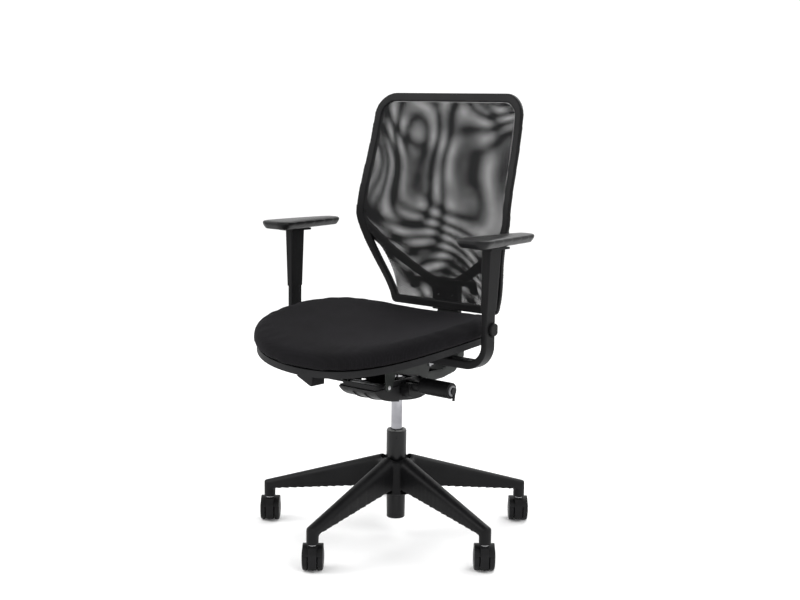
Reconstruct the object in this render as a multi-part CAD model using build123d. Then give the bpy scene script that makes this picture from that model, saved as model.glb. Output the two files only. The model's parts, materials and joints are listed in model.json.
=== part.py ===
from build123d import *
from math import cos, radians, sin
import os

# Swivel office chair. Millimetres. Origin on the floor under the column, front faces -Y, +X is the
# sitter's left, +Z up.

# five-leg base
stem_circle = 337.5
first_leg_angle = 59.8
leg_count = 5
hub_radius, hub_bottom, hub_top = 47, 112, 196
ridge_slope, ridge_height = 0.308, 216
under_slope, under_height = 0.131, 132
leg_root_width, leg_tip_width, leg_wall = 42, 29, 3.5
socket_bottom, socket_top, stem_radius = 66, 96, 5.5

# casters
wheel_radius, wheel_inner, wheel_tread, wheel_outer = 29.5, 10.3, 22.5, 26.0
caster_trail = 17
caster_heading = 40
web_half, fender_half = 9.8, 23.5
fender_inner, fender_outer = 30.4, 32.6
axle_radius = 4

# column
tube_bottom, tube_top, tube_radius, tube_wall = 46, 268, 25, 2
tube_taper = 0.0158
gas_radius, gas_bottom, gas_taper_start, gas_top = 14, 150, 372, 404
bush_bottom = 188
rod_radius = 5

# mechanism
mech_half = 55
mech_wall = 4
handle_y, handle_z, handle_radius = -30, 400, 19.5
tilt_pivot_y, tilt_pivot_z = 30, 404
front_pivot_y, front_pivot_z = -112, 402
spring_x, spring_z = 30, 391

# seat
seat_half, seat_front, seat_rear, seat_mid = 278, -346, 137, -88
front_power, rear_power = 2.65, 3.0
seat_rise, seat_dip, seat_kick, seat_edge = 32, 36, 13, 507
seat_shell_depth = 16
well_bottom = 452

# arms
arm_x, arm_y = 307.5, -46
post_thick, post_depth = 14, 36
sleeve_bottom, sleeve_top = 604, 751
sleeve_clear = 0.3
pad_bottom, pad_top = 751, 775
pad_x, pad_front, pad_rear = 308, -133, 107
pad_half_front, pad_half_rear = 46, 26
post_top = 700
arm_bar_bottom = 466
button_z, button_radius = 562, 15

# back
back_levels = [(545, 174, 0), (650, 160, 14), (780, 140, 27),
               (900, 157, 20), (1020, 180, 12), (1110, 200, 9)]
frame_thick, mesh_thick = 12, 3
half_top, half_elbow, half_foot = 230, 243, 168
z_top, z_elbow, z_foot = 1095, 782, 552
corner_radius, bar = 60, 22
spine_half = 41
support_y = 201
lumbar_half, lumbar_z = 108, 622

front_plane = Plane(origin=(0, 0, 0), x_dir=(1, 0, 0), z_dir=(0, -1, 0))
side_plane = Plane(origin=(0, 0, 0), x_dir=(0, 1, 0), z_dir=(1, 0, 0))
low = (Align.CENTER, Align.CENTER, Align.MIN)


def save(name, *solids):
    shape = solids[0] if len(solids) == 1 else Compound(children=list(solids))
    if isinstance(shape, Part) and len(shape.solids()) == 1:
        shape = shape.solid()
    export_step(shape, f"parts/{name}.step")


def lathe(points):
    """A solid turned about Z from (radius, height) points."""
    face = make_face(Polyline(*[(r, 0, z) for r, z in points], close=True))
    return revolve(face, axis=Axis.Z)


def rod_between(start, end, radius):
    edge = Line(start, end)
    return sweep(Plane(origin=start, z_dir=edge % 0) * Circle(radius), path=edge)


def side_prism(profile, x_low, x_high):
    """A profile of (Y, Z) points or edges, extruded along X."""
    face = side_plane * profile
    return extrude(face.moved(Location((x_low, 0, 0))), amount=x_high - x_low, dir=(1, 0, 0))


def front_prism(profile, y_low, y_high):
    """A profile in (X, Z), extruded along Y."""
    face = front_plane * profile
    return extrude(face.moved(Location((0, y_high, 0))), amount=y_high - y_low, dir=(0, -1, 0))


# ---------------------------------------------------------------- base
def ridge(r):
    return ridge_height - ridge_slope * r


def underside(r):
    return under_height - under_slope * r


def leg_section(r, width, shrink, drop):
    half = width / 2 - shrink
    top, bottom = ridge(r) - shrink, underside(r) - drop
    outline = Polyline((-half, top - half), (-half, bottom), (half, bottom), (half, top - half))
    crown = ThreePointArc((half, top - half), (0, top), (-half, top - half))
    plane = Plane(origin=(r, 0, 0), x_dir=(0, 1, 0), z_dir=(1, 0, 0))
    return plane * make_face(outline + crown)


def leg_width(r):
    return leg_root_width + (leg_tip_width - leg_root_width) * (r - 20) / (stem_circle - 20)


def leg():
    tip = stem_circle + leg_tip_width / 2
    outer = loft([leg_section(r, leg_width(r), 0, 0) for r in (20, 360)], ruled=True)
    taper = make_face(Polyline((0, -leg_root_width / 2 - 1), (stem_circle, -leg_tip_width / 2),
                               (stem_circle, leg_tip_width / 2), (0, leg_root_width / 2 + 1), close=True))
    plan = taper + Pos(stem_circle, 0) * Circle(leg_tip_width / 2)
    outer = outer & extrude(plan, amount=300)
    hollow = loft([leg_section(r, leg_width(r), leg_wall, 10) for r in (20, stem_circle - 17)], ruled=True)
    for r in (60, 110, 160, 210, 260):
        hollow -= Pos(r, 0, 0) * Box(3, 60, 500)
    socket = Pos(stem_circle, 0, socket_bottom) * Cylinder(leg_tip_width / 2, 34, align=low)
    bore = Pos(stem_circle, 0, 0) * Cylinder(stem_radius + 0.7, socket_top, align=low)
    return outer, hollow, socket, bore


def star_base():
    outer, hollow, socket, bore = leg()
    turns = [Rot(0, 0, first_leg_angle + 360 / leg_count * i) for i in range(leg_count)]
    hub = lathe([(0, hub_bottom), (hub_radius - 3, hub_bottom), (hub_radius, hub_bottom + 3),
                 (hub_radius, hub_top - 4), (hub_radius - 4, hub_top), (0, hub_top)])
    body = hub
    for turn in turns:
        body = body + turn * outer + turn * socket
    body -= Pos(0, 0, hub_top) * Cylinder(36, 60, align=low)
    for turn in turns:
        body -= turn * hollow
        body -= turn * bore
    body += Pos(0, 0, hub_bottom) * Cylinder(34, hub_top - hub_bottom, align=low)
    fit = 0.03
    bottom_r = tube_radius - (hub_top - hub_bottom) * tube_taper + fit
    body -= lathe([(0, hub_bottom - 9), (bottom_r, hub_bottom - 9), (bottom_r, hub_bottom),
                   (tube_radius + fit, hub_top - 10), (34, hub_top), (34, hub_top + 30), (0, hub_top + 30)])
    save("star_base", body)


def column():
    low_r = tube_radius - (hub_top - tube_bottom) * tube_taper
    inner_low = low_r - tube_wall
    bore_r = tube_radius - tube_wall
    outline = [(4.3, tube_bottom), (low_r - 1, tube_bottom), (low_r, tube_bottom + 1),
               (tube_radius, hub_top), (tube_radius, tube_top - 0.6), (tube_radius - 0.6, tube_top),
               (bore_r, tube_top), (bore_r, hub_top), (inner_low, tube_bottom + 3), (4.3, tube_bottom + 3)]
    tube = lathe(outline)
    for angle in (-50, 70, 190):
        spot = (tube_radius * cos(radians(angle)), tube_radius * sin(radians(angle)), tube_top - 15)
        tube -= Pos(*spot) * Sphere(1.6)
    save("column_tube", tube)

    bore, fit = gas_radius + 0.06, 0.05
    bush = lathe([(bore, bush_bottom), (bore_r - fit - 3, bush_bottom), (bore_r - fit, hub_top + 8),
                  (bore_r - fit, tube_top + 0.2), (tube_radius - 1, tube_top + 0.2),
                  (tube_radius - 2, tube_top + 3), (bore + 2, tube_top + 3), (bore, tube_top + 1)])
    for i in range(6):
        bush -= Rot(0, 0, 60 * i) * Pos(20.5, 0, tube_top + 3) * Box(9, 3, 3)
    save("column_bush", bush)

    floor = tube_bottom + 3
    washers = [Pos(0, 0, z) * (Cylinder(13, 1.2, align=low) - Cylinder(5.3, 1.2, align=low))
               for z in (floor + 0.05, floor + 4.75)]
    balls = [Rot(0, 0, 36 * i) * Pos(9, 0, floor + 3) * Sphere(1.7) for i in range(10)]
    save("thrust_bearing", *[w.solid() for w in washers], *[b.solid() for b in balls])

    piston_low = 246
    rod = lathe([(0, 40), (3.2, 40), (4, 41), (4, floor + 6), (rod_radius, floor + 6), (rod_radius, piston_low),
                 (11.9, piston_low), (11.9, piston_low + 12), (rod_radius, piston_low + 12),
                 (rod_radius, piston_low + 16), (0, piston_low + 16)])
    save("piston_rod", rod)
    clip = Pos(0, 0, 44) * (Cylinder(8, 1.4, align=low) - Cylinder(4.02, 1.4, align=low))
    clip -= Pos(6, 0, 44) * Box(10, 3, 4)
    save("retaining_clip", clip)

    cylinder = lathe([(rod_radius + 0.06, gas_bottom), (gas_radius - 1, gas_bottom),
                      (gas_radius, gas_bottom + 1), (gas_radius, gas_taper_start),
                      (gas_radius - 1, gas_top), (3.1, gas_top),
                      (3.1, gas_top - 18), (12, gas_top - 20), (12, gas_bottom + 10),
                      (rod_radius + 0.06, gas_bottom + 10)])
    save("gas_cylinder", cylinder)
    pin = lathe([(0, gas_top - 11), (3, gas_top - 11), (3, gas_top + 5), (2.4, gas_top + 6), (0, gas_top + 6)])
    save("valve_pin", pin)


# ---------------------------------------------------------------- casters
def caster_pieces():
    """One caster with its stem on the Z axis, its axle along X and its wheels trailing towards +Y."""
    centre = (caster_trail, wheel_radius)
    disc = Pos(*centre) * Circle(fender_inner + 0.2)
    front = Pos(-13.6, 8) * Rectangle(24, 53, align=(Align.MIN, Align.MIN))
    below = Pos(caster_trail, -2) * Rectangle(90, 17)
    web = side_prism(disc + front - below, -web_half, web_half)
    ring = Pos(*centre) * (Circle(fender_outer) - Circle(fender_inner))
    cut = Pos(caster_trail, 0) * Rectangle(90, 2 * wheel_radius + 22)
    fender = side_prism(ring - cut, -fender_half, fender_half)
    boss = Cylinder(11.5, 64, align=low) & (Pos(0, 0, 54) * Box(60, 60, 30, align=low))
    hood = web + fender + boss
    hood -= Pos(0, 0, 26) * Cylinder(stem_radius + 0.06, 60, align=low)
    axle_place = Pos(0, caster_trail, wheel_radius) * Rot(0, 90, 0)
    hood -= axle_place * Cylinder(axle_radius + 0.02, 60)
    axle = axle_place * Cylinder(axle_radius, 43)

    r = wheel_radius
    outline = [(axle_radius + 0.06, wheel_inner), (10, wheel_inner), (10, wheel_inner + 6),
               (23, wheel_inner + 6), (23, wheel_inner + 1), (r - 1.5, wheel_inner + 1),
               (r, wheel_inner + 2.5), (r, wheel_tread - 1),
               (r - 1, wheel_tread + 0.6), (r - 4, wheel_outer - 1.7), (r - 12, wheel_outer - 0.6),
               (7, wheel_outer), (0, wheel_outer), (0, 22), (axle_radius + 0.06, 22)]
    wheel = Pos(0, caster_trail, wheel_radius) * Rot(0, 90, 0) * lathe(outline)
    return hood, axle, wheel, Pos(0, caster_trail, wheel_radius) * Rot(0, -90, 0) * lathe(outline)


def stem_place(i):
    angle = radians(first_leg_angle + 360 / leg_count * i)
    return Pos(stem_circle * cos(angle), stem_circle * sin(angle), 0)


def casters():
    hood, axle, left, right = caster_pieces()
    stems = []
    stem = Pos(0, 0, 30) * Cylinder(stem_radius, 62, align=low)
    stem += Pos(0, 0, 64.3) * Cylinder(9.5, 1.4, align=low)
    stem += Pos(0, 0, 84) * Cylinder(stem_radius + 0.6, 5, align=low)
    for i in range(leg_count):
        place = stem_place(i) * Rot(0, 0, caster_heading)
        stems.append((place * stem).solid())
        save(f"caster_hood_{i + 1}", place * hood)
        save(f"caster_axle_{i + 1}", place * axle)
        save(f"caster_wheel_{i + 1}_left", place * left)
        save(f"caster_wheel_{i + 1}_right", place * right)
    save("caster_stems", *stems)


# ---------------------------------------------------------------- mechanism
def tub_profile(grow):
    """The side outline of the mechanism's tub, in (Y, Z), moved out by grow."""
    front, rear = (-150 - grow, 400), (74 + grow, 386)
    lower = Spline(front, (-128 - 0.7 * grow, 379 - 0.7 * grow), (-70 - 0.2 * grow, 363 - grow),
                   (0, 354 - grow), (44 + 0.2 * grow, 359 - grow), rear)
    rest = Polyline(rear, (76 + grow, 410), (-150 - grow, 410), front)
    return make_face(lower + rest)


def mechanism():
    tub = side_prism(tub_profile(0), -mech_half, mech_half)
    inner = side_prism(tub_profile(-mech_wall), -mech_half + mech_wall, mech_half - mech_wall)
    top_room = Pos(0, -37, 395) * Box(2 * (mech_half - mech_wall), 218, 40, align=low)
    tub = tub - inner - top_room
    tub += Pos(0, 0, 356) * Cylinder(21, 46, align=low)
    tub += Pos(0, 50, 361) * Box(2 * mech_half - 4, mech_wall, 40, align=low)
    fit = 0.03
    tub -= lathe([(0, 340), (gas_radius + fit, 340), (gas_radius + fit, gas_taper_start),
                  (gas_radius - 1 + fit, gas_top), (gas_radius - 1 + fit, gas_top + 40), (0, gas_top + 40)])
    side = Pos(mech_half - 1, handle_y, handle_z - 10) * Rot(0, 90, 0) * Cylinder(25, 30, align=low)
    side &= Pos(80, handle_y, 375) * Box(60, 60, 58)
    neck = Pos(mech_half + 20, handle_y, handle_z - 2) * Rot(0, 90, 0) * Cone(17, 14, 26, align=low)
    tub = tub + side + (neck - Pos(80, handle_y, 434) * Box(90, 60, 60))
    tub -= Pos(mech_half - 10, handle_y, handle_z) * Rot(0, 90, 0) * Cylinder(7.06, 120, align=low)
    for y, z in ((tilt_pivot_y, tilt_pivot_z), (front_pivot_y, front_pivot_z)):
        tub -= Pos(0, y, z) * Rot(0, 90, 0) * Cylinder(5.05, 130)
    tub -= Pos(-mech_half, -64, 404) * Box(20, 20, 16)
    tub -= Pos(-mech_half, -138, 406) * Box(24, 30, 12)
    save("mechanism_housing", tub)

    cover = side_prism(tub_profile(3), -mech_half - 2.8, mech_half + 2.8)
    cover -= side_prism(tub_profile(0.2), -mech_half - 0.2, mech_half + 0.2)
    cover &= Pos(0, -108, 330) * Box(200, 96, 66, align=low)
    ribs = side_prism(tub_profile(5.2), -20, 20) - side_prism(tub_profile(2), -60, 60)
    ribs -= Box(33, 500, 1000)
    cover += ribs & Pos(0, -102, 330) * Box(200, 80, 62, align=low)
    save("mechanism_cover", cover)

    pivot = Pos(0, tilt_pivot_y, tilt_pivot_z) * Rot(0, 90, 0) * Cylinder(5, 130)
    save("tilt_pivot_pin", pivot)
    front_pin = Pos(0, front_pivot_y, front_pivot_z) * Rot(0, 90, 0) * Cylinder(5, 142)
    save("front_pivot_pin", front_pin)

    spring_path = Helix(pitch=8, height=44, radius=8.5)
    coil = sweep(Plane(origin=spring_path @ 0, z_dir=spring_path % 0) * Circle(1.8), path=spring_path)
    save("tilt_spring", Pos(spring_x, -81, spring_z) * Rot(-90, 0, 0) * coil)
    seat_disc = Pos(spring_x, -89, spring_z) * Rot(-90, 0, 0) * Cylinder(10.5, 5, align=low)
    seat_disc += Pos(spring_x, -85, spring_z) * Rot(-90, 0, 0) * Cylinder(6, 24, align=low)
    save("spring_seat", seat_disc)


def controls():
    along_x = Rot(0, 90, 0)
    spindle = Pos(-mech_half + 8, handle_y, handle_z) * along_x * Cylinder(7, 170, align=low)
    spindle &= Pos(60, handle_y, handle_z) * Box(90, 50, 50)
    grip = Pos(102, handle_y, handle_z) * along_x * Cylinder(handle_radius, 92, align=low)
    grip = chamfer(grip.edges().sort_by(Axis.X)[0], 5)
    grip = fillet(grip.edges().sort_by(Axis.X)[-1], 2)
    grip -= Pos(192, handle_y, handle_z) * along_x * Cylinder(13, 4, align=low)
    grip += spindle
    save("tension_handle", grip)
    ring = Pos(192.1, handle_y, handle_z) * along_x * (Cylinder(12.9, 5, align=low) - Cylinder(8.5, 12))
    save("tension_handle_ring", ring)
    lock = Pos(192.1, handle_y, handle_z) * along_x * Cylinder(8.3, 8.9, align=low)
    lock += Pos(199.2, handle_y + 2, handle_z - 12) * Rot(-10, 0, 0) * Box(3.4, 6, 24)
    save("tilt_lock_lever", lock)

    lever_start, lever_end = (-40, -62, 404), (-205, -100, 401)
    lever = rod_between(lever_start, lever_end, 4)
    paddle_plan = Pos(-232, -106) * RectangleRounded(70, 32, 13)
    paddle = extrude(Pos(0, 0, 396) * paddle_plan, amount=9)
    paddle = fillet(paddle.edges().group_by(Axis.Z)[-1], 3)
    lever += paddle
    lever += Pos(-38, -58, 406) * Box(12, 14, 14)
    finger = make_face(Polyline((-44, -65), (-32, -65), (9, -6), (9, 9), (-9, 9), (-12, 2), (-44, -50), close=True))
    lever += extrude(Pos(0, 0, 410.4) * finger, amount=3.4)
    save("height_lever", lever)

    arm = Pos(-90, -139, 407.5) * Box(90, 12, 5)
    grip = front_prism(make_face(Polyline((-172, 406), (-128, 387), (-122, 387), (-122, 412), (-172, 412),
                                          close=True)), -176, -132)
    for k in range(7):
        grip -= Pos(-148, -171 + 6 * k, 391.5) * Rot(0, 23.4, 0) * Box(80, 2.4, 4)
    save("seat_lock_lever", arm + grip)


# ---------------------------------------------------------------- seat
def seat_outline(inset):
    """The seat from above: a superellipse, rounder in front than behind."""
    count = 24
    points = []
    for k in range(count):
        angle = radians(360 * (k + 0.5) / count)
        c, s = cos(angle), sin(angle)
        power = rear_power if s > 0 else front_power
        reach = (seat_rear if s > 0 else seat_front) - seat_mid - (inset if s > 0 else -inset)
        x = (seat_half - inset) * (1 if c > 0 else -1) * abs(c) ** (2 / power)
        points.append((x, seat_mid + reach * abs(s) ** (2 / power)))
    return make_face(Spline(*points, periodic=True))


def seat_strip(y, below, above):
    """A strip across the seat at one depth: higher at the sides and rear, and lower towards the front."""
    run = max(0, 150 - y) / (150 - seat_front)
    z, half = seat_edge - seat_dip * run ** 2 + seat_kick * (max(0, y + 60) / 200) ** 2, 290
    rise = seat_rise * (half / seat_half) ** 2
    lower = ThreePointArc((-half, z + below + rise), (0, z + below), (half, z + below + rise))
    upper = ThreePointArc((half, z + above + rise), (0, z + above), (-half, z + above + rise))
    face = make_face(lower + Line(lower @ 1, upper @ 0) + upper + Line(upper @ 1, lower @ 0))
    return (front_plane * face).moved(Location((0, y, 0)))


def seat_band(below, above):
    return loft([seat_strip(y, below, above) for y in (-380, -290, -190, -90, 20, 190)])


def seat_screw_spots():
    return [(x, y) for x in (-60, 60) for y in (-95, 25)]


def arm_bolt_spots():
    return [(side * 150, y) for side in (-1, 1) for y in (arm_y - 9, arm_y + 9)]


def seat():
    def column_of(inset):
        return extrude(seat_outline(inset), amount=700)

    cushion = column_of(0) & seat_band(0, 44)
    rim = [e for e in cushion.edges() if e.center().Z > 525]
    cushion = fillet(rim, 20)
    save("seat_cushion", cushion)

    shell = column_of(10) & seat_band(-seat_shell_depth, -0.3)
    shell -= column_of(17) & seat_band(-40, -4.3)
    well = Pos(0, -30, well_bottom) * Box(196, 200, 100, align=low)
    pocket = Pos(0, -30, well_bottom + 4) * Box(188, 192, 100, align=low)
    shell += well & seat_band(-110, -2)
    shell -= pocket & seat_band(-110, -0.3)
    for side in (-1, 1):
        boss = Pos(side * 152, arm_y, arm_bar_bottom + 20.3) * Box(44, 34, 60, align=low)
        shell += boss & seat_band(-90, -2)
    for x, y in arm_bolt_spots():
        shell -= Pos(x, y, arm_bar_bottom) * Cylinder(3.05, 28, align=low)
    for x, y in seat_screw_spots():
        shell -= Pos(x, y, well_bottom - 1) * Cylinder(2.45, 9, align=low)
    save("seat_shell", shell)

    plate = Pos(0, -35, well_bottom - 4.2) * Box(150, 180, 4, align=low)
    cheek = Polyline((-124, well_bottom - 2), (-124, 400), (-118, 393), (-106, 393), (-100, 400), (-88, 432),
                     (0, 416), (25, 403), (33, 408), (46, well_bottom - 2), close=True)
    for side in (-1, 1):
        plate += side_prism(make_face(cheek), side * 68.5 - 1.5, side * 68.5 + 1.5)
    plate -= Pos(0, front_pivot_y, front_pivot_z) * Rot(0, 90, 0) * Cylinder(5.05, 200)
    for x, y in seat_screw_spots():
        plate -= Pos(x, y, well_bottom - 5) * Cylinder(2.6, 8, align=low)
    save("seat_carrier", plate)
    screws = []
    for x, y in seat_screw_spots():
        screw = Pos(x, y, well_bottom - 7.4) * Cylinder(6, 3, align=low)
        screw += Pos(x, y, well_bottom - 5) * Cylinder(2.4, 11.5, align=low)
        screws.append(screw.solid())
    for side in (-1, 1):
        screws.append((Pos(side * 70.1, 40, 436) * Rot(0, side * 90, 0) * Cylinder(4, 2.5, align=low)).solid())
    save("seat_screws", *screws)


# ---------------------------------------------------------------- arms
def arm_profile(side):
    inner, outer = arm_x - post_thick / 2, arm_x + post_thick / 2
    lower, upper, start = arm_bar_bottom, arm_bar_bottom + 20, 128
    outline = (Line((start, lower), (outer - 58, lower))
               + RadiusArc((outer - 58, lower), (outer, lower + 58), -58)
               + Line((outer, lower + 58), (outer, post_top))
               + Line((outer, post_top), (inner, post_top))
               + Line((inner, post_top), (inner, upper + 40))
               + RadiusArc((inner, upper + 40), (inner - 40, upper), 40)
               + Line((inner - 40, upper), (start, upper))
               + Line((start, upper), (start, lower)))
    face = make_face(outline)
    return face if side > 0 else mirror(face, about=Plane.YZ)


def sleeve_section(z, outer_x, rear_y, shrink, side):
    inner_x = arm_x - post_thick / 2 - 2
    front_y = arm_y - post_depth / 2 - 2
    width, depth = outer_x - inner_x - 2 * shrink, rear_y - front_y - 2 * shrink
    centre = (side * (inner_x + outer_x) / 2, (front_y + rear_y) / 2)
    return Pos(*centre, z) * RectangleRounded(width, depth, 4 - shrink)


def pad_outline(side, inset):
    """The armrest seen from above: a broad front and a narrow rear."""
    edges = []
    for half, y, r in ((pad_half_front, pad_front, 27), (pad_half_rear, pad_rear, 17)):
        inward = 1 if y < 0 else -1
        for way in (-1, 1):
            circle = Pos(side * pad_x + way * (half - r), y + inward * r) * Circle(r - inset)
            edges += circle.edges()
    return make_hull(edges)


def arms():
    bolts = []
    for side, name in ((1, "left"), (-1, "right")):
        y_low, y_high = arm_y - post_depth / 2, arm_y + post_depth / 2
        bracket = front_prism(arm_profile(side), y_low, y_high)
        outer = side * (arm_x + post_thick / 2)
        button_place = Pos(outer, arm_y + 8, button_z) * Rot(0, side * 90, 0)
        keep = Pos(0, arm_y, 0) * Box(2000, post_depth, 2000)
        bracket -= button_place * (Pos(0, 0, -7) * Cylinder(button_radius + 0.3, 8, align=low))
        for k in range(7):
            bracket -= Pos(side * (arm_x - post_thick / 2), y_high - 6, 590 + 11 * k) * Box(4, 6, 5)
        for x, y in arm_bolt_spots():
            if x * side > 0:
                bracket -= Pos(x, y, 0) * Cylinder(3.1, 500, align=low)
                bolt = Pos(x, y, arm_bar_bottom - 4) * Cylinder(6, 3.9, align=low)
                bolt += Pos(x, y, arm_bar_bottom - 1) * Cylinder(3, 28, align=low)
                bolts.append(bolt.solid())
        save(f"{name}_arm_bracket", bracket)
        button = button_place * (Pos(0, 0, -3) * Cylinder(button_radius, 10, align=low))
        button = fillet(button.faces().sort_by(Axis.X)[-1 if side > 0 else 0].edges(), 3) & keep
        save(f"{name}_arm_button", button)

        low_x, low_rear = arm_x + post_thick / 2 + 2, y_high + 2
        sections = [sleeve_section(z, x, r, 0, side) for z, x, r in
                    ((sleeve_bottom, low_x, low_rear), (sleeve_top, low_x + 6, low_rear + 7))]
        sleeve = loft(sections, ruled=True)
        channel = Pos(side * arm_x, arm_y, sleeve_bottom - 1) * Box(
            post_thick + 2 * sleeve_clear, post_depth + 2 * sleeve_clear, 140, align=low)
        sleeve -= channel
        flange = Pos(side * (arm_x + 4), arm_y + 6, sleeve_top - 5) * Box(44, 70, 5, align=low)
        sleeve += flange
        save(f"{name}_arm_sleeve", sleeve)

        pad = loft([Pos(0, 0, pad_bottom + 0.1) * pad_outline(side, 9), Pos(0, 0, pad_bottom + 14) *
                    pad_outline(side, 0)], ruled=True)
        pad += extrude(Pos(0, 0, pad_bottom + 14) * pad_outline(side, 0), amount=pad_top - pad_bottom - 14)
        pad = fillet(pad.edges().group_by(Axis.Z)[-1], 6)
        save(f"{name}_arm_pad", pad)
    save("arm_bolts", *bolts)


# ---------------------------------------------------------------- back
def back_face(z, centre, wrap, offset, thick):
    """A curved strip of the back at one height, in front the sitter's side."""
    half = 275
    bend = wrap * (half / 240) ** 2
    front = ThreePointArc((-half, centre - bend + offset), (0, centre + offset), (half, centre - bend + offset))
    rear = ThreePointArc((half, centre - bend + offset + thick), (0, centre + offset + thick),
                         (-half, centre - bend + offset + thick))
    ends = Line(front @ 1, rear @ 0) + Line(rear @ 1, front @ 0)
    return Pos(0, 0, z) * make_face(front + rear + ends)


def slab(offset, thick):
    return loft([back_face(z, centre, wrap + 0.4, offset, thick) for z, centre, wrap in back_levels])


def back_outline(inset):
    points = [(-half_foot, z_foot), (-half_elbow, z_elbow), (-half_top, z_top),
              (half_top, z_top), (half_elbow, z_elbow), (half_foot, z_foot)]
    face = make_face(Polyline(*points, close=True))
    corners = face.vertices().sort_by(Axis.Y)
    face = fillet(corners[-2:], corner_radius)
    elbows = [v for v in face.vertices() if abs(v.Y - z_elbow) < 1]
    face = fillet(elbows, 40)
    face = fillet(face.vertices().sort_by(Axis.Y)[:2], 14)
    return offset(face, amount=-inset) if inset else face


def slits(bow):
    """The gap between each strut and the mesh's edge, between a straight side and a bowed one."""
    faces = []
    top, foot = (half_elbow - bar - 6, z_elbow - 34), (half_foot - bar + 8, z_foot + bar + 4)
    for side in (-1, 1):
        a, b = (side * top[0], top[1]), (side * foot[0], foot[1])
        middle = (side * ((top[0] + foot[0]) / 2 - bow), (top[1] + foot[1]) / 2 + bow / 3)
        out = (side * (top[0] + 40), foot[1])
        faces.append(make_face(ThreePointArc(a, middle, b) + Polyline(b, out, a)))
    return faces


def backrest():
    ring = front_prism(back_outline(0) - back_outline(bar), 60, 300)
    frame = ring & slab(0, frame_thick)
    save("back_frame", frame)
    spots = [(x, z) for x in (-22, 22) for z in (586, 612)]
    holes = Part() + [Pos(x, support_y + 15, z) * Rot(90, 0, 0) * Cylinder(2.5, 36, align=low)
                      for x, z in spots]

    mesh_shape = back_outline(bar + 0.3)
    for face in slits(24):
        mesh_shape -= face
    mesh = front_prism(mesh_shape, 60, 300) & slab(1, mesh_thick)
    save("back_mesh", mesh)

    carrier_outline = make_face(
        Line((-spine_half, 547), (spine_half, 547)) + Line((spine_half, 547), (spine_half, 612))
        + ThreePointArc((spine_half, 612), (110, 650), (half_elbow - 12, z_elbow - 40))
        + Line((half_elbow - 12, z_elbow - 40), (half_elbow - 14, z_elbow - 4))
        + ThreePointArc((half_elbow - 14, z_elbow - 4), (130, 690), (spine_half - 6, 632))
        + Line((spine_half - 6, 632), (-spine_half + 6, 632))
        + ThreePointArc((-spine_half + 6, 632), (-130, 690), (-half_elbow + 14, z_elbow - 4))
        + Line((-half_elbow + 14, z_elbow - 4), (-half_elbow + 12, z_elbow - 40))
        + ThreePointArc((-half_elbow + 12, z_elbow - 40), (-110, 650), (-spine_half, 612))
        + Line((-spine_half, 612), (-spine_half, 547)))
    carrier = (front_prism(carrier_outline, 60, 300) & slab(frame_thick + 0.3, 10)) - holes
    save("back_carrier", carrier)

    lumbar = Pos(0, lumbar_z) * RectangleRounded(2 * lumbar_half, 14, 5)
    for side in (-1, 1):
        lumbar += Pos(side * (lumbar_half - 11), lumbar_z - 8) * RectangleRounded(22, 34, 6)
    save("lumbar_bar", front_prism(lumbar, 60, 300) & slab(6.2, 3.2))

    upper = [(30, 417), (96, 415), (140, 424), (170, 450), (190, 500), (support_y, 546), (support_y, 626)]
    lower = [(support_y + 10, 626), (support_y + 10, 540), (203, 480), (184, 428), (150, 401), (100, 392),
             (30, 391)]
    bar_face = make_face(Polyline(*upper, *lower, close=True))
    bar_face += Pos(30, 404) * Circle(13)
    support = side_prism(bar_face, -64.5, 64.5)
    support -= Pos(0, 0, 300) * Box(2 * mech_half + 6.4, 176, 260, align=low)
    front_view = make_face(Polyline((-64.5, 380), (64.5, 380), (64.5, 440), (spine_half - 4, 540),
                                    (spine_half - 4, 630), (4 - spine_half, 630), (4 - spine_half, 540),
                                    (-64.5, 440), close=True))
    support &= front_prism(front_view, 0, 300)
    support -= Pos(0, tilt_pivot_y, tilt_pivot_z) * Rot(0, 90, 0) * Cylinder(5.05, 200)
    support -= holes
    save("back_support", support)
    screws = []
    for x, z in spots:
        screw = Pos(x, support_y + 13.1, z) * Rot(90, 0, 0) * Cylinder(5, 3, align=low)
        screw += Pos(x, support_y + 11, z) * Rot(90, 0, 0) * Cylinder(2.4, 27, align=low)
        screws.append(screw.solid())
    save("back_screws", *screws)


def main():
    os.makedirs("parts", exist_ok=True)
    star_base()
    column()
    casters()
    mechanism()
    controls()
    seat()
    arms()
    backrest()


main()
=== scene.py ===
import bpy
import json
from math import cos, radians, sin
from mathutils import Matrix, Vector

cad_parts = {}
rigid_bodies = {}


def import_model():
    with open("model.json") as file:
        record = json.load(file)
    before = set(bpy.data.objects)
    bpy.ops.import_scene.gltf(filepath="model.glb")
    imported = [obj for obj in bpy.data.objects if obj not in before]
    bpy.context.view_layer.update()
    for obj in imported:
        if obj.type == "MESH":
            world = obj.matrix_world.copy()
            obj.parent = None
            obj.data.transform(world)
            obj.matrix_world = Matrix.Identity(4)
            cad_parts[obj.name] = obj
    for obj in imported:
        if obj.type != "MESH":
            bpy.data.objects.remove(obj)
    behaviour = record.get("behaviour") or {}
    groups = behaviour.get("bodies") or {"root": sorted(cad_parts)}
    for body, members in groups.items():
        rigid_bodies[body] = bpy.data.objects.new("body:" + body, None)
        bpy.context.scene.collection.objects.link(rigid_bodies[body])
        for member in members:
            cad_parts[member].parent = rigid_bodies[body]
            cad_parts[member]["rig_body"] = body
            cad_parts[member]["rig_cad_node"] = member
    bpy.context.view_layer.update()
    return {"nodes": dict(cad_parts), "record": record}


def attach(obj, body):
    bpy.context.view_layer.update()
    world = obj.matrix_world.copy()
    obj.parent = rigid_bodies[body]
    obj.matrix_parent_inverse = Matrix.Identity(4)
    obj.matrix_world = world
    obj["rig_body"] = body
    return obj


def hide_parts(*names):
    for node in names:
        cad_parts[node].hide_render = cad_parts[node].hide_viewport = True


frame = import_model()
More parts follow.
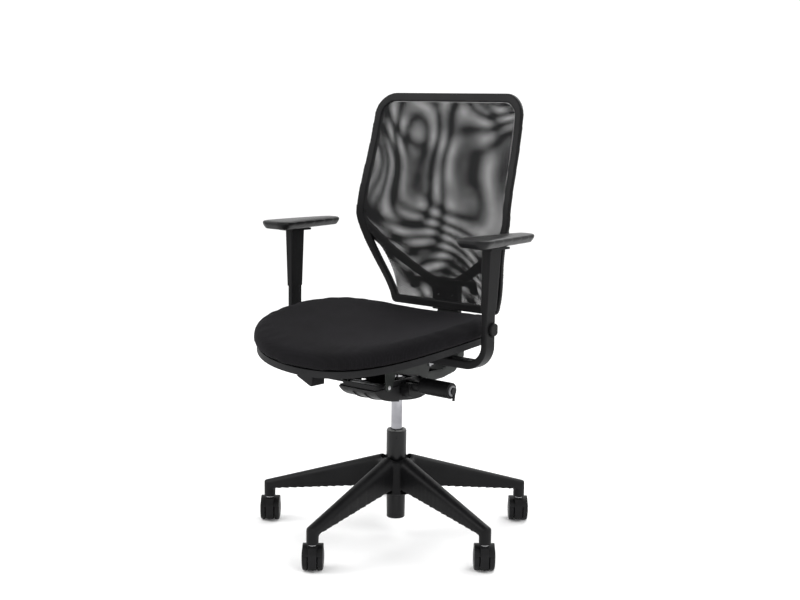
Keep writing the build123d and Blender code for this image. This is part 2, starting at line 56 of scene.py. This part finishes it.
nodes, record = frame["nodes"], frame["record"]
bpy.ops.object.select_all(action="DESELECT")
print("frame loaded:", len(nodes), "nodes")


def toLinear(hexColour):  # sRGB hex to the linear values that a shader takes
    parts = [int(hexColour[k:k + 2], 16) / 255 for k in (1, 3, 5)]
    linear = [p / 12.92 if p <= 0.04045 else ((p + 0.055) / 1.055) ** 2.4 for p in parts]
    return tuple(linear + [1.0])


def addNode(tree, kind, settings=None, links=None):  # settings by attribute or socket, links by socket
    node = tree.nodes.new(kind)
    for key, value in (settings or {}).items():
        if isinstance(key, str) and hasattr(node, key):
            setattr(node, key, value)
        else:
            node.inputs[key].default_value = value
    for key, source in (links or {}).items():
        tree.links.new(source, node.inputs[key])
    return node


def startMaterial(name, surface):
    material = bpy.data.materials.new(name)
    material.use_nodes = True
    tree = material.node_tree
    shader = tree.nodes["Principled BSDF"]
    for key, value in surface.items():
        shader.inputs[key].default_value = value
    place = addNode(tree, "ShaderNodeTexCoord").outputs["Object"]
    return material, tree, shader, place


def giveMaterial(piece, material):
    piece.data.materials.clear()
    piece.data.materials.append(material)
    for face in piece.data.polygons:
        face.material_index = 0


def tonePatches(tree, place, look):  # slow drift between two near tones, as resin or dye has
    drift = addNode(tree, "ShaderNodeTexNoise", {"Scale": 1000 / look["patchMm"], "Detail": 2.0},
                    {"Vector": place})
    tones = addNode(tree, "ShaderNodeValToRGB", {}, {"Fac": drift.outputs["Fac"]})
    tones.color_ramp.elements[0].position, tones.color_ramp.elements[1].position = 0.3, 0.7
    tones.color_ramp.elements[0].color = toLinear(look["dark"])
    tones.color_ramp.elements[1].color = toLinear(look["light"])
    return drift.outputs["Fac"], tones.outputs["Color"]


def mouldedPlastic(name, look):  # glass-filled nylon or polypropylene, spark-eroded mould texture
    material, tree, shader, place = startMaterial(name, {"IOR": 1.5, "Specular IOR Level": look["specular"]})
    drift, tone = tonePatches(tree, place, look)
    edge = addNode(tree, "ShaderNodeNewGeometry")
    rub = addNode(tree, "ShaderNodeMapRange", {"From Min": 0.53, "From Max": 0.62, "To Max": look["wear"]},
                  {"Value": edge.outputs["Pointiness"]})
    paint = addNode(tree, "ShaderNodeMix", {"data_type": "RGBA", 7: toLinear(look["rubbed"])},
                    {0: rub.outputs["Result"], 6: tone})
    tree.links.new(paint.outputs[2], shader.inputs["Base Color"])
    satin = addNode(tree, "ShaderNodeMapRange",
                    {"From Min": 0.3, "From Max": 0.7, "To Min": look["roughness"] - 0.04,
                     "To Max": look["roughness"] + 0.06}, {"Value": drift})
    tree.links.new(satin.outputs["Result"], shader.inputs["Roughness"])
    grain = addNode(tree, "ShaderNodeTexNoise", {"Scale": 1000 / look["grainMm"], "Detail": 3.0},
                    {"Vector": place})
    bump = addNode(tree, "ShaderNodeBump", {"Strength": look["bump"], "Distance": 0.0003},
                   {"Height": grain.outputs["Fac"]})
    tree.links.new(bump.outputs["Normal"], shader.inputs["Normal"])
    return material


def platedMetal(name, look):  # chromed or zinced steel, faint smears from handling and fine turning marks
    material, tree, shader, place = startMaterial(name, {"Metallic": 1.0})
    drift, tone = tonePatches(tree, place, look)
    tree.links.new(tone, shader.inputs["Base Color"])
    smear = addNode(tree, "ShaderNodeMapRange", {"From Min": 0.35, "From Max": 0.75, "To Min": look["roughness"],
                                                 "To Max": look["roughness"] + look["smear"]}, {"Value": drift})
    tree.links.new(smear.outputs["Result"], shader.inputs["Roughness"])
    stretch = addNode(tree, "ShaderNodeMapping", {"Scale": (1.0, 1.0, 12.0)}, {"Vector": place})
    marks = addNode(tree, "ShaderNodeTexNoise", {"Scale": 1000 / look["markMm"] / 12, "Detail": 2.0},
                    {"Vector": stretch.outputs["Vector"]})
    bump = addNode(tree, "ShaderNodeBump", {"Strength": look["bump"], "Distance": 0.0001},
                   {"Height": marks.outputs["Fac"]})
    tree.links.new(bump.outputs["Normal"], shader.inputs["Normal"])
    return material


def powderCoat(name, look):  # baked powder on pressed steel, an orange-peel skin
    material, tree, shader, place = startMaterial(name, {
        "Roughness": look["roughness"], "IOR": 1.5, "Specular IOR Level": 0.14, "Coat Weight": look["coat"],
        "Coat Roughness": 0.2})
    _, tone = tonePatches(tree, place, look)
    tree.links.new(tone, shader.inputs["Base Color"])
    peel = addNode(tree, "ShaderNodeTexNoise", {"Scale": 1000 / look["peelMm"], "Detail": 1.0},
                   {"Vector": place})
    bump = addNode(tree, "ShaderNodeBump", {"Strength": look["bump"], "Distance": 0.0004},
                   {"Height": peel.outputs["Fac"]})
    tree.links.new(bump.outputs["Normal"], shader.inputs["Normal"])
    return material


def waveScale(threadMm):  # a wave texture repeats every 314.16 mm over its scale: here, every two threads
    return 314.16 / threadMm / 2


def wovenFabric(name, look):  # plain-weave polyester upholstery, a dry cloth with a soft bloom at grazing angles
    material, tree, shader, place = startMaterial(name, {
        "Roughness": 0.9, "IOR": 1.45, "Specular IOR Level": 0.15, "Sheen Weight": look["sheen"],
        "Sheen Roughness": 0.4, "Sheen Tint": toLinear(look["bloom"])})
    _, tone = tonePatches(tree, place, look)
    # threads along and across, drawn far coarser than a real thread, which is too fine to show
    warp = addNode(tree, "ShaderNodeTexWave", {"bands_direction": "X", "Scale": waveScale(look["threadMm"]),
                                               "Distortion": 0.6, "Detail": 1.0, "Detail Scale": 3.0},
                   {"Vector": place})
    weft = addNode(tree, "ShaderNodeTexWave", {"bands_direction": "Y", "Scale": waveScale(look["threadMm"]),
                                               "Distortion": 0.6, "Detail": 1.0, "Detail Scale": 3.0},
                   {"Vector": place})
    cloth = addNode(tree, "ShaderNodeMath", {"operation": "MULTIPLY"},
                    {0: warp.outputs["Fac"], 1: weft.outputs["Fac"]})
    slub = addNode(tree, "ShaderNodeTexNoise", {"Scale": 1000 / look["slubMm"], "Detail": 4.0},
                   {"Vector": place})
    shade = addNode(tree, "ShaderNodeMix", {"data_type": "RGBA", "blend_type": "MULTIPLY", 0: 0.6}, {6: tone})
    mottle = addNode(tree, "ShaderNodeMath", {"operation": "MULTIPLY_ADD", 1: 0.7},
                     {0: cloth.outputs[0], 2: slub.outputs["Fac"]})
    grey = addNode(tree, "ShaderNodeCombineColor", {}, {0: mottle.outputs[0], 1: mottle.outputs[0],
                                                        2: mottle.outputs[0]})
    tree.links.new(grey.outputs["Color"], shade.inputs[7])
    tree.links.new(shade.outputs[2], shader.inputs["Base Color"])
    bump = addNode(tree, "ShaderNodeBump", {"Strength": look["bump"], "Distance": 0.0006},
                   {"Height": mottle.outputs[0]})
    tree.links.new(bump.outputs["Normal"], shader.inputs["Normal"])
    return material


def skinnedFoam(name, look):  # moulded polyurethane with its own skin, a fine leather-like grain
    material, tree, shader, place = startMaterial(name, {"Roughness": look["roughness"], "IOR": 1.48,
                                                         "Specular IOR Level": 0.17, "Sheen Weight": 0.02})
    _, tone = tonePatches(tree, place, look)
    tree.links.new(tone, shader.inputs["Base Color"])
    cells = addNode(tree, "ShaderNodeTexVoronoi",
                    {"feature": "DISTANCE_TO_EDGE", "Scale": 1000 / look["cellMm"]},
                    {"Vector": place})
    pores = addNode(tree, "ShaderNodeMapRange", {"From Max": 0.25}, {"Value": cells.outputs["Distance"]})
    bump = addNode(tree, "ShaderNodeBump", {"Strength": look["bump"], "Distance": 0.0004},
                   {"Height": pores.outputs["Result"]})
    tree.links.new(bump.outputs["Normal"], shader.inputs["Normal"])
    return material


def knittedNet(name, look):  # open polyester net: rows of diamond holes between glossy yarns
    material, tree, shader, place = startMaterial(name, {"Roughness": 0.6, "IOR": 1.5, "Specular IOR Level": 0.2})
    _, tone = tonePatches(tree, place, look)
    tree.links.new(tone, shader.inputs["Base Color"])
    # the knit runs a little off square as it is stretched, so two layers show bands where their holes meet
    pull = addNode(tree, "ShaderNodeTexNoise", {"Scale": 1000 / look["pullMm"], "Detail": 0.0},
                   {"Vector": place})
    slack = addNode(tree, "ShaderNodeVectorMath", {"operation": "SCALE", "Scale": look["driftMm"] / 1000},
                    {0: pull.outputs["Color"]})
    pulled = addNode(tree, "ShaderNodeVectorMath", {"operation": "ADD"},
                     {0: place, 1: slack.outputs["Vector"]})
    turned = addNode(tree, "ShaderNodeMapping", {"Rotation": (0.0, radians(look["turn"]), 0.0)},
                     {"Vector": pulled.outputs["Vector"]})
    split = addNode(tree, "ShaderNodeSeparateXYZ", {}, {"Vector": turned.outputs["Vector"]})
    waves = []
    for socket, pitch in (("X", look["pitchMm"][0]), ("Z", look["pitchMm"][1])):
        phase = addNode(tree, "ShaderNodeMath", {"operation": "MULTIPLY", 1: 6283.19 / pitch},
                        {0: split.outputs[socket]})
        waves.append(addNode(tree, "ShaderNodeMath", {"operation": "COSINE"}, {0: phase.outputs[0]}).outputs[0])
    hole = addNode(tree, "ShaderNodeMath", {"operation": "MULTIPLY"}, {0: waves[0], 1: waves[1]})
    yarn = addNode(tree, "ShaderNodeMath", {"operation": "LESS_THAN", 1: look["open"]}, {0: hole.outputs[0]})
    tree.links.new(yarn.outputs[0], shader.inputs["Alpha"])
    bump = addNode(tree, "ShaderNodeBump", {"Strength": 0.5, "Distance": 0.0005, "invert": True},
                   {"Height": hole.outputs[0]})
    tree.links.new(bump.outputs["Normal"], shader.inputs["Normal"])
    return material


nylon = {"dark": "#0e0e0f", "light": "#141415", "rubbed": "#29292a", "wear": 0.4, "patchMm": 60, "grainMm": 0.9,
         "roughness": 0.42, "specular": 0.11, "bump": 0.35}
finishes = {
    "base_nylon": mouldedPlastic("glassFilledNylon", nylon),
    "caster_nylon": mouldedPlastic("mouldedNylon", {**nylon, "patchMm": 25}),
    "wheel_tread": mouldedPlastic("polyurethaneTread", {**nylon, "dark": "#111112", "light": "#161617",
                                                        "roughness": 0.38, "patchMm": 20, "bump": 0.15}),
    "bush_plastic": mouldedPlastic("mouldedAcetal", {**nylon, "dark": "#4a4a4a", "light": "#5c5c5b",
                                                     "rubbed": "#8a8a8a", "roughness": 0.35, "patchMm": 15}),
    "mechanism_plastic": mouldedPlastic("leverNylon", {**nylon, "roughness": 0.4, "patchMm": 30}),
    "grey_plastic": mouldedPlastic("greyAbs", {**nylon, "dark": "#626264", "light": "#727274", "rubbed": "#8c8c8e",
                                               "roughness": 0.35, "patchMm": 20}),
    "shell_plastic": mouldedPlastic("polypropyleneShell", {**nylon, "dark": "#161617", "light": "#1c1c1d",
                                                           "roughness": 0.5}),
    "arm_plastic": mouldedPlastic("armNylon", {**nylon, "dark": "#0d0d0e", "light": "#131314"}),
    "frame_plastic": mouldedPlastic("backFrameNylon", {**nylon, "dark": "#09090a", "light": "#0e0e0f",
                                                       "roughness": 0.42}),
    "column_paint": powderCoat("satinPowderCoat", {"dark": "#0c0c0d", "light": "#111112", "patchMm": 50,
                                                   "peelMm": 1.4, "roughness": 0.35, "coat": 0.2, "bump": 0.15}),
    "mechanism_casting": powderCoat("paintedDieCasting", {"dark": "#0f0f10", "light": "#171718", "patchMm": 30,
                                                          "peelMm": 1.0, "roughness": 0.48, "coat": 0.05,
                                                          "bump": 0.3}),
    "carrier_steel": powderCoat("paintedPressedSteel", {"dark": "#1c1e1d", "light": "#282b29", "patchMm": 40,
                                                        "peelMm": 1.2, "roughness": 0.42, "coat": 0.1, "bump": 0.2}),
    "gas_chrome": platedMetal("polishedChrome", {"dark": "#7c7c80", "light": "#98989c", "patchMm": 40, "markMm": 0.4,
                                                 "roughness": 0.06, "smear": 0.06, "bump": 0.05}),
    "bright_steel": platedMetal("zincPlatedSteel", {"dark": "#a9a9aa", "light": "#c4c4c6", "patchMm": 8,
                                                    "markMm": 0.3, "roughness": 0.28, "smear": 0.15, "bump": 0.2}),
    "screw_zinc": platedMetal("brightZincScrew", {"dark": "#7e7e80", "light": "#9a9a9c", "patchMm": 5,
                                                  "markMm": 0.3, "roughness": 0.25, "smear": 0.15, "bump": 0.2}),
    "spring_steel": platedMetal("oiledSpringSteel", {"dark": "#3c3c3e", "light": "#545456", "patchMm": 10,
                                                     "markMm": 0.4, "roughness": 0.35, "smear": 0.15, "bump": 0.2}),
    "seat_fabric": wovenFabric("plainWeavePolyester", {"dark": "#0c0b0d", "light": "#121114", "bloom": "#4a464f",
                                                       "sheen": 0.12, "patchMm": 90, "threadMm": 2.4, "slubMm": 3.0,
                                                       "bump": 0.35}),
    "pad_foam": skinnedFoam("integralSkinFoam", {"dark": "#0d0d0e", "light": "#131314", "patchMm": 40, "cellMm": 1.6,
                                                 "roughness": 0.34, "bump": 0.15}),
    "back_mesh": knittedNet("polyesterNet", {"dark": "#08080a", "light": "#0c0c0e", "patchMm": 50,
                                             "pitchMm": (4.4, 4.6), "open": 0.17, "turn": 0.0,
                                             "pullMm": 260, "driftMm": 3.0}),
}
innerNet = knittedNet("polyesterLiningNet", {"dark": "#08080a", "light": "#0c0c0e", "patchMm": 50,
                                             "pitchMm": (4.36, 4.66), "open": 0.17, "turn": 1.8,
                                             "pullMm": 240, "driftMm": 36.0})
for part in record["subparts"]:
    giveMaterial(nodes[part["node"]], finishes[part["material_slot"]])
print("finishes given to", len(record["subparts"]), "nodes")


weldGap = 0.00005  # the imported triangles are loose, and their shared corners are this close


def copyNode(nodeName, pieceName):
    bpy.ops.object.select_all(action="DESELECT")
    piece = nodes[nodeName].copy()
    piece.data = nodes[nodeName].data.copy()
    piece.name = piece.data.name = pieceName
    piece.parent = None
    bpy.context.scene.collection.objects.link(piece)
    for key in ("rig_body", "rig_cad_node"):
        del piece[key]
    bpy.context.view_layer.objects.active = piece
    piece.select_set(True)
    bpy.ops.object.mode_set(mode="EDIT")
    bpy.ops.mesh.select_all(action="SELECT")
    bpy.ops.mesh.remove_doubles(threshold=weldGap)
    bpy.ops.object.mode_set(mode="OBJECT")
    return piece


def applyModifier(piece, kind, settings):
    modifier = piece.modifiers.new(kind.lower(), kind)
    for key, value in settings.items():
        setattr(modifier, key, value)
    bpy.ops.object.modifier_apply(modifier=modifier.name)


simFrames = 20


def puffUp(piece, look):  # shrinks a copy, blows it up as cloth with its underside held, and caps the swell
    applyModifier(piece, "REMESH", {"mode": "VOXEL", "voxel_size": look["voxelMm"] / 1000})
    applyModifier(piece, "SMOOTH", {"factor": 0.5, "iterations": look["rounds"]})
    applyModifier(piece, "DISPLACE", {"strength": -look["insetMm"] / 1000, "mid_level": 0.0})
    start = [v.co.copy() for v in piece.data.vertices]
    held = piece.vertex_groups.new(name="underside")
    held.add([v.index for v in piece.data.vertices if v.normal.z < look["underside"]], 1.0, "REPLACE")
    cloth = piece.modifiers.new("cloth", "CLOTH")
    cloth.settings.quality = 4
    cloth.settings.mass = 0.3
    cloth.settings.tension_stiffness = cloth.settings.compression_stiffness = look["stiffness"]
    cloth.settings.bending_stiffness = 4.0
    cloth.settings.use_pressure = True
    cloth.settings.uniform_pressure_force = look["pressure"]
    cloth.settings.effector_weights.gravity = 0.0
    cloth.settings.vertex_group_mass = "underside"
    for step in range(1, simFrames + 1):
        bpy.context.scene.frame_set(step)
    bpy.ops.object.modifier_apply(modifier="cloth")
    cap = look["capMm"] / 1000
    for v, before in zip(piece.data.vertices, start):
        move = v.co - before
        if move.length > cap:
            v.co = before + move.normalized() * cap
    piece.vertex_groups.clear()
    applyModifier(piece, "SMOOTH", {"factor": 0.5, "iterations": look["settle"]})
    applyModifier(piece, "SUBSURF", {"levels": 1, "render_levels": 1})
    bpy.ops.object.shade_smooth()


seatLook = {"voxelMm": 6.0, "rounds": 30, "insetMm": 0.5, "pressure": 4.0, "stiffness": 30.0, "capMm": 2.5,
            "settle": 12, "underside": -0.4}
seatPad = copyNode("seat_cushion", "seatCushion")
puffUp(seatPad, seatLook)
giveMaterial(seatPad, finishes["seat_fabric"])
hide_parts("seat_cushion")
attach(seatPad, "seat")
print("seat cushion:", len(seatPad.data.polygons), "faces")

armPadLook = {"voxelMm": 4.0, "rounds": 2, "insetMm": 1.5, "pressure": 3.0, "stiffness": 15.0, "capMm": 2.0,
              "settle": 3, "underside": -0.4}
for side in ("left", "right"):
    armPad = copyNode(f"{side}_arm_pad", f"{side}ArmPad")
    puffUp(armPad, armPadLook)
    giveMaterial(armPad, finishes["pad_foam"])
    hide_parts(f"{side}_arm_pad")
    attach(armPad, f"{side}_arm")
print("arm pads done")

# moulded edges are soft, so these pieces are remeshed copies with their edges relaxed
roundLook = {"star_base": {"name": "starBase", "body": "base", "slot": "base_nylon", "voxelMm": 2.8, "rounds": 6},
             "back_frame": {"name": "backFrame", "body": "back", "slot": "frame_plastic", "voxelMm": 2.2,
                            "rounds": 8},
             "back_support": {"name": "backSupport", "body": "back", "slot": "carrier_steel", "voxelMm": 2.2,
                              "rounds": 6},
             "left_arm_bracket": {"name": "leftArmBracket", "body": "seat", "slot": "arm_plastic",
                                  "voxelMm": 1.8, "rounds": 5},
             "right_arm_bracket": {"name": "rightArmBracket", "body": "seat", "slot": "arm_plastic",
                                   "voxelMm": 1.8, "rounds": 5}}
for nodeName, look in roundLook.items():
    moulding = copyNode(nodeName, look["name"])
    applyModifier(moulding, "REMESH", {"mode": "VOXEL", "voxel_size": look["voxelMm"] / 1000})
    applyModifier(moulding, "SMOOTH", {"factor": 0.5, "iterations": look["rounds"]})
    bpy.ops.object.shade_smooth()
    giveMaterial(moulding, finishes[look["slot"]])
    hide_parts(nodeName)
    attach(moulding, look["body"])
    print(look["name"], "rounded:", len(moulding.data.polygons), "faces")

netLook = {"gaugeMm": 0.5, "facing": 0.35, "creaseDeg": 40, "flat": (0.45, 0.51), "area": 0.19}


def netLayer(pieceName, wayY):  # one face of the panel, kept as a single skin and given a yarn's thickness
    layer = copyNode("back_mesh", pieceName)
    bpy.ops.object.mode_set(mode="EDIT")
    bpy.ops.mesh.select_mode(type="FACE")
    bpy.ops.mesh.select_all(action="DESELECT")
    bpy.ops.object.mode_set(mode="OBJECT")
    for face in layer.data.polygons:
        face.select = face.normal.y * wayY < netLook["facing"]
    bpy.ops.object.mode_set(mode="EDIT")
    bpy.ops.mesh.delete(type="FACE")
    bpy.ops.object.mode_set(mode="OBJECT")
    print(pieceName, "area", round(sum(face.area for face in layer.data.polygons), 4))
    applyModifier(layer, "SOLIDIFY", {"thickness": netLook["gaugeMm"] / 1000, "offset": -1.0})
    bpy.ops.object.shade_smooth_by_angle(angle=radians(netLook["creaseDeg"]))
    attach(layer, "back")
    return layer


frontNet = netLayer("frontNet", -1)
rearNet = netLayer("rearNet", 1)
giveMaterial(frontNet, finishes["back_mesh"])
giveMaterial(rearNet, innerNet)
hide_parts("back_mesh")
print("back net: two layers")

studio = {"floor": "#f9f9f9", "wall": "#ffffff", "wallStrength": 1.12,
          "lamps": [((-2.2, -2.2, 2.6), 2.2, 55), ((2.6, -0.6, 2.2), 1.6, 28), ((0.2, 1.8, 2.8), 2.4, 40)]}
bpy.ops.mesh.primitive_plane_add(size=90, location=(0, 0, 0))
floor = bpy.context.object
floor.name = "studioFloor"
paper, paperTree, paperShader, paperPlace = startMaterial("paperSweep", {"Roughness": 0.8})
_, paperTone = tonePatches(paperTree, paperPlace, {"dark": studio["floor"], "light": "#fcfcfc", "patchMm": 900})
paperTree.links.new(paperTone, paperShader.inputs["Base Color"])
giveMaterial(floor, paper)

world = bpy.data.worlds.new("studioWorld")
bpy.context.scene.world = world
world.use_nodes = True
world.node_tree.nodes["Background"].inputs["Color"].default_value = toLinear(studio["wall"])
world.node_tree.nodes["Background"].inputs["Strength"].default_value = studio["wallStrength"]
for place, size, power in studio["lamps"]:
    bpy.ops.object.light_add(type="AREA", location=place)
    lamp = bpy.context.object
    lamp.data.energy, lamp.data.size = power, size
    lamp.rotation_euler = (Vector((0, 0, 0.5)) - Vector(place)).to_track_quat("-Z", "Y").to_euler()
print("studio lit")

view = {"place": (2.0597, -2.4469, 1.0759), "toward": (-0.6428, 0.7660), "pitch": 0.1498, "roll": 0.0114,
        "lens": 59.55}
level = cos(view["pitch"])
ahead = Vector((level * view["toward"][0], level * view["toward"][1], -sin(view["pitch"])))
across = ahead.cross(Vector((0, 0, 1))).normalized()
above = across.cross(ahead)
right = across * cos(view["roll"]) + above * sin(view["roll"])
upward = above * cos(view["roll"]) - across * sin(view["roll"])
bpy.ops.object.camera_add(location=view["place"])
camera = bpy.context.object
camera.data.lens = view["lens"]
camera.matrix_world = Matrix((right, upward, -ahead)).transposed().to_4x4()
camera.location = view["place"]
bpy.context.scene.camera = camera
bpy.context.scene.frame_set(1)
bpy.context.scene.view_settings.view_transform = "Standard"
